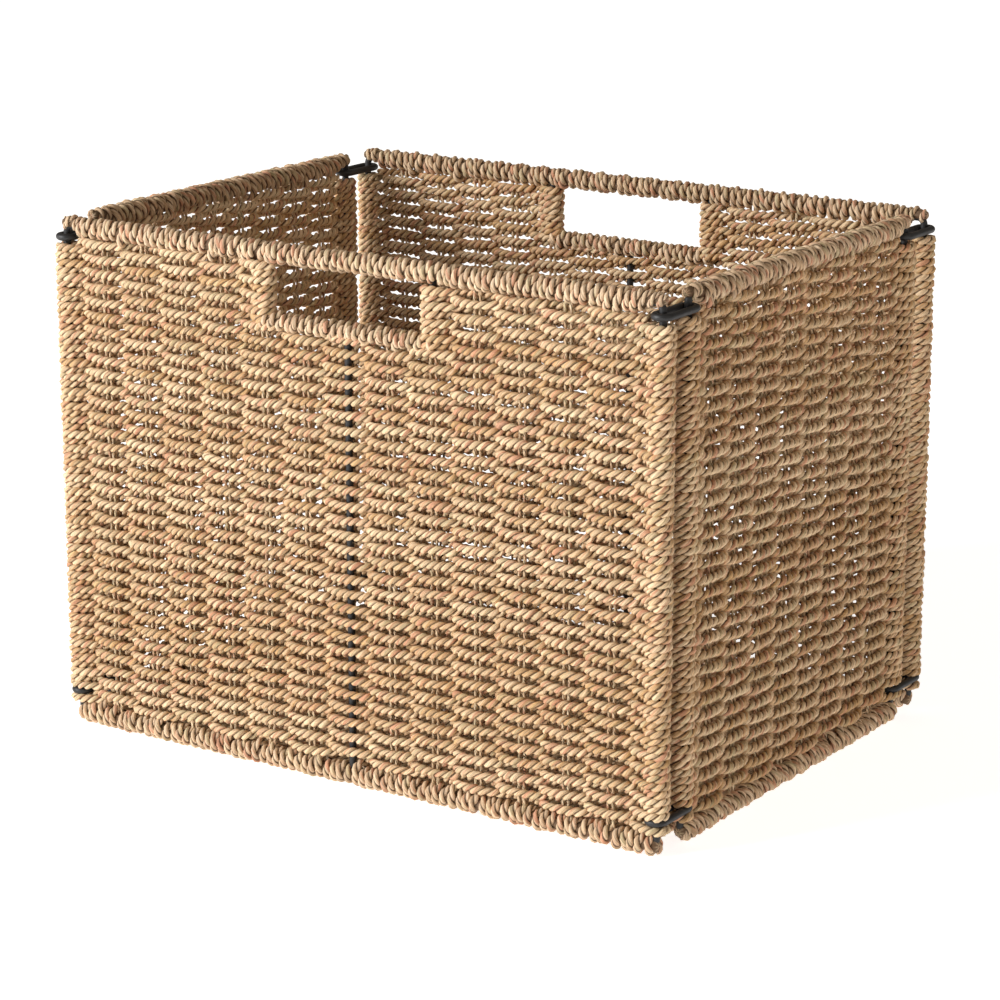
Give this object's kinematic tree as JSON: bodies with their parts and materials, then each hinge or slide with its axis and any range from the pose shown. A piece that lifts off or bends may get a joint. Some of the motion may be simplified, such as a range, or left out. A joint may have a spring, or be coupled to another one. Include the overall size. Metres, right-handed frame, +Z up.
{
  "type": "folding storage basket",
  "caption": "Rectangular storage basket of seagrass rope woven on iron frames, with hand holes and corner links that let its walls fold flat.",
  "frame": {"origin": "on the floor, under the middle of the basket", "axes": "+X along the long front wall to the right as seen from the front, -Y out of the front wall, +Z up"},
  "size_m": [0.4, 0.298, 0.298],
  "materials": {
    "seagrass_rope": "two-ply twisted seagrass rope, dry and matt",
    "seagrass_wrap": "flat seagrass strands wound round a rail, matt",
    "warp_cord": "thin pale twisted cord",
    "black_iron": "satin black lacquer on iron wire"
  },
  "bodies": {
    "front_wall": {"front_frame": "black_iron", "front_warp_cords": "warp_cord", "front_weave": "seagrass_rope", "front_top_binding": "seagrass_wrap", "front_bottom_binding": "seagrass_wrap", "front_handle_binding": "seagrass_wrap", "front_corner_links": "black_iron", "base_laces": "warp_cord"},
    "back_wall": {"back_frame": "black_iron", "back_warp_cords": "warp_cord", "back_weave": "seagrass_rope", "back_top_binding": "seagrass_wrap", "back_bottom_binding": "seagrass_wrap", "back_handle_binding": "seagrass_wrap", "back_corner_links": "black_iron"},
    "right_wall": {"right_frame": "black_iron", "right_warp_cords": "warp_cord", "right_weave": "seagrass_rope", "right_top_binding": "seagrass_wrap", "right_bottom_binding": "seagrass_wrap"},
    "left_wall": {"left_frame": "black_iron", "left_warp_cords": "warp_cord", "left_weave": "seagrass_rope", "left_top_binding": "seagrass_wrap", "left_bottom_binding": "seagrass_wrap"},
    "base": {"base_mat": "seagrass_rope", "base_binding": "seagrass_wrap", "base_hinge_cord": "warp_cord"}
  },
  "joints": [
    {"name": "right_fold", "type": "hinge", "parent": "front_wall", "child": "right_wall", "pos_m": [0.1935, -0.1185, 0.149], "axis": [0, 0, -1], "range_deg": [0, 90], "deforming": ["base_mat", "base_binding", "base_hinge_cord"]},
    {"name": "left_fold", "type": "hinge", "parent": "front_wall", "child": "left_wall", "pos_m": [-0.1935, -0.1185, 0.149], "axis": [0, 0, -1], "range_deg": [0, 90]},
    {"name": "back_fold", "type": "hinge", "parent": "right_wall", "child": "back_wall", "pos_m": [0.1935, 0.1185, 0.149], "axis": [0, 0, 1], "range_deg": [0, 90]},
    {"name": "base_lift", "type": "hinge", "parent": "front_wall", "child": "base", "pos_m": [0, -0.1305, 0.004], "axis": [1, 0, 0], "range_deg": [0, 90]}
  ],
  "couplings": [
    {"joint": "left_fold", "follows": "right_fold", "ratio": 1},
    {"joint": "back_fold", "follows": "right_fold", "ratio": 1},
    {"joint": "base_lift", "follows": "right_fold", "ratio": 1}
  ]
}
